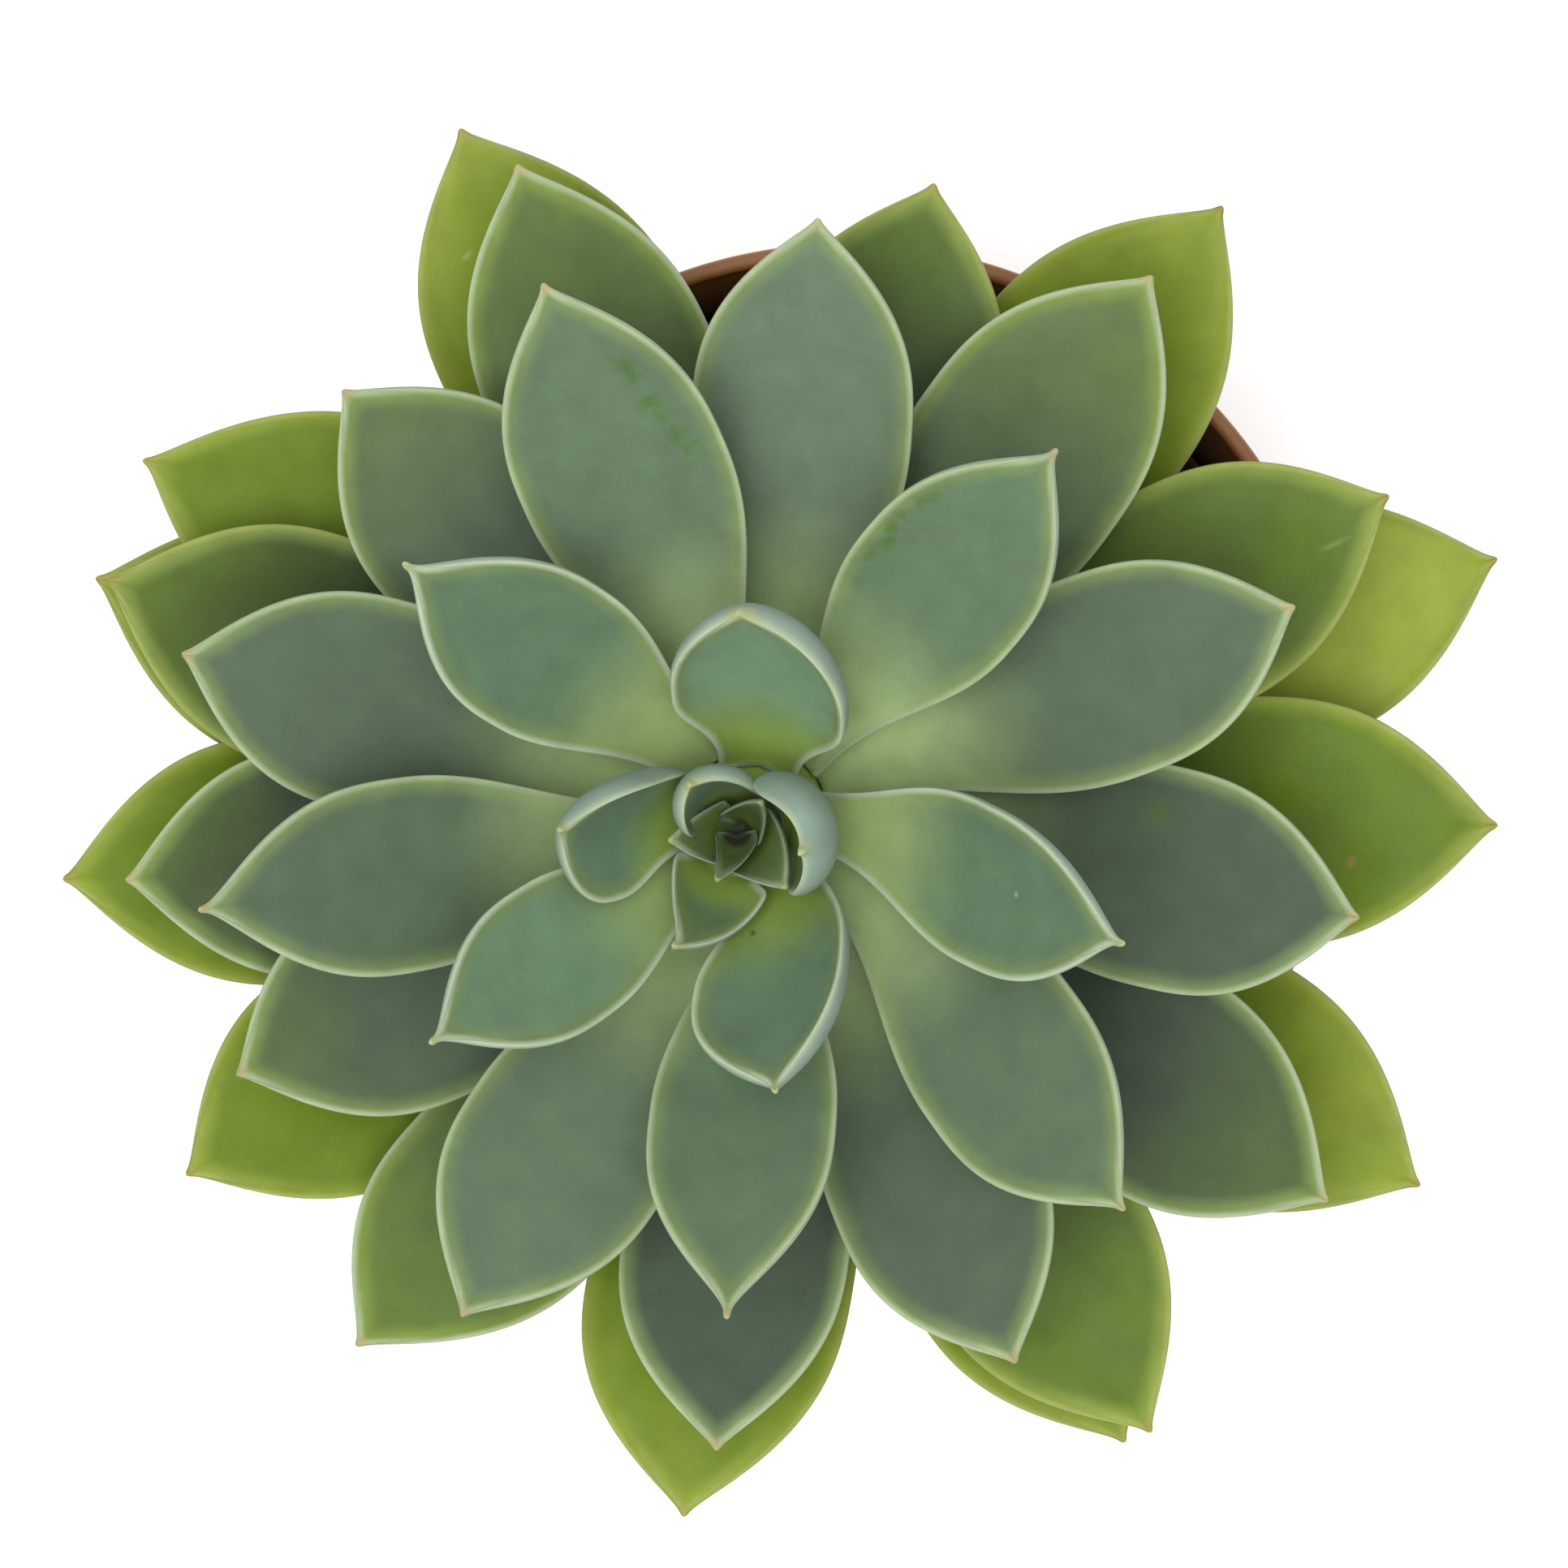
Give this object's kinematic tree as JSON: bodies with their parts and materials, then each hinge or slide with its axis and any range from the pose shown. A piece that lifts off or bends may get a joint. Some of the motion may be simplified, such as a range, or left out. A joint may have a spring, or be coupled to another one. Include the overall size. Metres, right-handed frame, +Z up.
{
  "type": "potted succulent",
  "caption": "Rosette succulent with fleshy pointed leaves on one spiral, growing in a round plastic nursery pot filled with soil.",
  "frame": {"origin": "middle of the pot's flat base, where it stands", "axes": "+Z up out of the pot, +Y towards the top of the picture, +X towards its right"},
  "size_m": [0.1261, 0.1219, 0.1319],
  "materials": {
    "pot_plastic": "brown moulded plastic, satin, faint turning rings and dust",
    "peat_soil": "dark crumbly peat, matte",
    "stem_bark": "green-brown woody stem with leaf scars, matte",
    "young_leaf": "fleshy blue-green leaf under a waxy bloom, pale margin",
    "grown_leaf": "fleshy grey-green leaf under a thinner bloom, pale yellow-green margin",
    "old_leaf": "fleshy lime-green leaf with little bloom, yellowish margin"
  },
  "bodies": {
    "root": {"pot": "pot_plastic", "soil": "peat_soil", "stem": "stem_bark", "heart": "young_leaf", "leaf_06": "young_leaf", "leaf_07": "young_leaf", "leaf_08": "young_leaf", "leaf_09": "young_leaf", "leaf_10": "young_leaf", "leaf_11": "young_leaf", "leaf_12": "young_leaf", "leaf_13": "young_leaf", "leaf_14": "grown_leaf", "leaf_15": "grown_leaf", "leaf_16": "grown_leaf", "leaf_17": "grown_leaf", "leaf_18": "grown_leaf", "leaf_19": "grown_leaf", "leaf_20": "grown_leaf", "leaf_21": "grown_leaf", "leaf_22": "grown_leaf", "leaf_23": "grown_leaf", "leaf_24": "grown_leaf", "leaf_25": "grown_leaf", "leaf_26": "grown_leaf", "leaf_27": "grown_leaf", "leaf_28": "grown_leaf", "leaf_29": "grown_leaf", "leaf_30": "grown_leaf", "leaf_31": "grown_leaf", "leaf_32": "grown_leaf", "leaf_33": "old_leaf", "leaf_34": "old_leaf", "leaf_35": "old_leaf", "leaf_36": "old_leaf", "leaf_37": "old_leaf", "leaf_38": "old_leaf", "leaf_39": "old_leaf", "leaf_40": "old_leaf", "leaf_41": "old_leaf", "leaf_42": "old_leaf", "leaf_43": "old_leaf", "leaf_44": "old_leaf", "leaf_46": "old_leaf", "leaf_47": "old_leaf", "leaf_48": "old_leaf"}
  },
  "joints": []
}
